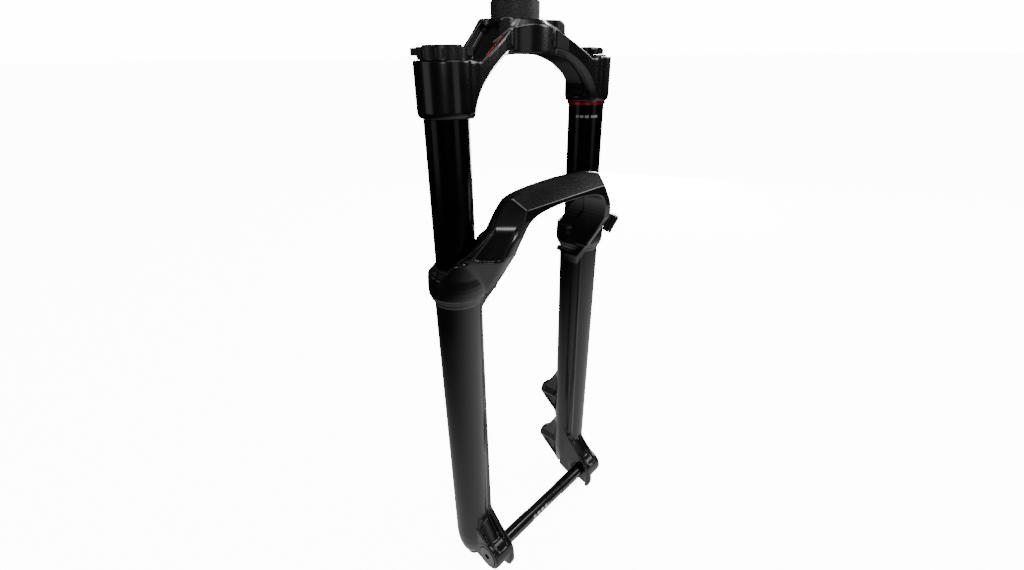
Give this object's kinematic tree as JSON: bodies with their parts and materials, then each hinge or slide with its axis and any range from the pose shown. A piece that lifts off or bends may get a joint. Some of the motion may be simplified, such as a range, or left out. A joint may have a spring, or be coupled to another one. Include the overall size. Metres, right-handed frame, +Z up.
{
  "type": "bicycle suspension fork",
  "caption": "Telescopic bicycle suspension fork: tapered steerer, single crown, sliding lower legs joined by a forward arch, disc brake posts and a through axle.",
  "frame": {"origin": "on the steerer's axis, at the seat of the lower headset race (the top of the crown)", "axes": "+Z up along the steerer, -Y forwards (the arch and the hub axle are in front), +X to the rider's left (air spring and disc brake leg)"},
  "size_m": [0.224, 0.0895, 0.758],
  "materials": {
    "steerer_black": "matt",
    "crown_black": "gloss",
    "stanchion_black": "gloss",
    "red_anodised": "satin",
    "cap_black": "gloss",
    "knob_black": "satin",
    "silver_aluminium": "satin",
    "gold_anodised": "satin",
    "bright_steel": "polished",
    "valve_brass": "satin",
    "spacer_red": "matt",
    "seal_rubber": "matt",
    "lowers_black": "gloss",
    "bushing_bronze": "matt",
    "foam_grey": "soft",
    "black_steel": "satin",
    "guide_plastic": "satin",
    "axle_black": "satin"
  },
  "bodies": {
    "crown_assembly": {"steerer": "steerer_black", "crown": "crown_black", "stanchion_right": "stanchion_black", "stanchion_left": "stanchion_black", "stanchion_ring": "red_anodised", "damper_top_cap": "cap_black", "compression_piston": "gold_anodised", "damper_cartridge": "silver_aluminium", "damper_seal_head": "silver_aluminium", "air_top_cap": "cap_black", "air_valve_core": "valve_brass", "volume_spacers": "spacer_red", "air_seal_head": "silver_aluminium", "top_out_bumper": "seal_rubber", "retaining_rings": "bright_steel"},
    "lowers": {"lower_legs": "lowers_black", "upper_bushings": "bushing_bronze", "lower_bushings": "bushing_bronze", "wiper_seal_right": "seal_rubber", "wiper_seal_left": "seal_rubber", "garter_springs": "bright_steel", "foam_rings": "foam_grey", "damper_foot_bolt": "black_steel", "air_foot_bolt": "black_steel", "crush_washers": "silver_aluminium", "hose_guide": "guide_plastic", "hose_guide_screw": "black_steel", "damper_shaft": "bright_steel", "rebound_piston": "gold_anodised", "rebound_shims": "bright_steel", "air_shaft": "silver_aluminium", "air_piston": "silver_aluminium", "air_piston_seal": "seal_rubber"},
    "compression_control": {"compression_knob": "knob_black", "compression_adjuster": "silver_aluminium"},
    "rebound_control": {"rebound_knob": "knob_black", "rebound_adjuster": "silver_aluminium"},
    "valve_cover": {"air_valve_cover": "cap_black"},
    "axle": {"through_axle": "axle_black"}
  },
  "joints": [
    {"name": "travel", "type": "slide", "parent": "crown_assembly", "child": "lowers", "axis": [0, 0, 1], "range_m": [0, 0.1], "stiffness_N_per_m": 20000, "springref_m": -0.001},
    {"name": "compression_turn", "type": "hinge", "parent": "crown_assembly", "child": "compression_control", "pos_m": [-0.0875, -0.012, -0.02], "axis": [0, 0, 1], "range_deg": [-90, 0]},
    {"name": "rebound_turn", "type": "hinge", "parent": "lowers", "child": "rebound_control", "pos_m": [-0.0875, -0.012, -0.54], "axis": [0, 0, 1], "range_deg": [0, 360]},
    {"name": "valve_cover_lift", "type": "slide", "parent": "crown_assembly", "child": "valve_cover", "axis": [0, 0, 1], "range_m": [0, 0.03]},
    {"name": "axle_pull", "type": "slide", "parent": "lowers", "child": "axle", "axis": [-1, 0, 0], "range_m": [0, 0.19]}
  ]
}
